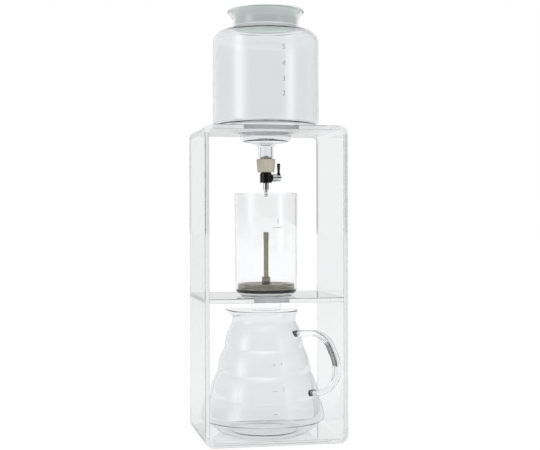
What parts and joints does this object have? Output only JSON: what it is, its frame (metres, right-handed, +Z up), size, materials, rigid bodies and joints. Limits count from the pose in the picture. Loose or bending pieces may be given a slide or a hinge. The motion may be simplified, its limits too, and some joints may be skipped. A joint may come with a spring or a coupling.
{
  "type": "cold drip coffee tower",
  "caption": "Cold drip coffee tower: clear stand holding a lidded glass water tank with a lever drip valve over a glass bowl with a metal filter and a glass carafe.",
  "frame": {"origin": "bottom centre of the whole object, which is the middle of the stand's underside", "axes": "+Z up, +X to the right seen from the front, +Y to the back; the tap's spindle lies along +X"},
  "size_m": [0.165, 0.1418, 0.504],
  "materials": {
    "clear_sheet": "clear polished sheet",
    "tank_glass": "clear polished",
    "bowl_glass": "clear polished",
    "carafe_glass": "clear polished",
    "silicone": "translucent matte",
    "frosted_plastic": "frosted",
    "black_metal": "gloss black",
    "chrome": "polished",
    "steel": "satin",
    "filter_steel": "satin",
    "grip_steel": "satin",
    "black_rubber": "matte"
  },
  "bodies": {
    "stand": {"stand_loop": "clear_sheet", "stand_shelf": "clear_sheet"},
    "tank": {"water_tank": "tank_glass", "stopper": "silicone", "inlet_tube": "steel", "valve_body": "black_metal", "spindle_seal": "black_rubber", "gland_nut": "chrome", "nozzle": "chrome", "drip_tip": "chrome"},
    "lid": {"tank_lid": "frosted_plastic"},
    "tap": {"tap_plug": "steel", "lever_hub": "chrome", "lever_rod": "black_metal", "hub_screw": "chrome"},
    "bowl": {"coffee_bowl": "bowl_glass"},
    "filter": {"filter_cap": "filter_steel", "filter_mesh": "filter_steel", "filter_base": "filter_steel", "filter_gasket": "black_rubber", "filter_post": "filter_steel", "post_grip": "grip_steel", "post_nut": "filter_steel", "lower_nut": "filter_steel"},
    "carafe": {"carafe_body": "carafe_glass", "carafe_handle": "carafe_glass"}
  },
  "joints": [
    {"name": "tank_lift", "type": "slide", "parent": "stand", "child": "tank", "axis": [0, 0, 1], "range_m": [0, 0.1]},
    {"name": "lid_lift", "type": "slide", "parent": "tank", "child": "lid", "axis": [0, 0, 1], "range_m": [0, 0.06]},
    {"name": "tap_turn", "type": "hinge", "parent": "tank", "child": "tap", "pos_m": [0, 0, 0.305], "axis": [1, 0, 0], "range_deg": [0, 90]},
    {"name": "bowl_lift", "type": "slide", "parent": "stand", "child": "bowl", "axis": [0, 0, 1], "range_m": [0, 0.02]},
    {"name": "filter_lift", "type": "slide", "parent": "bowl", "child": "filter", "axis": [0, 0, 1], "range_m": [0, 0.018]},
    {"name": "carafe_out", "type": "slide", "parent": "stand", "child": "carafe", "axis": [0, -1, 0], "range_m": [0, 0.16]}
  ]
}
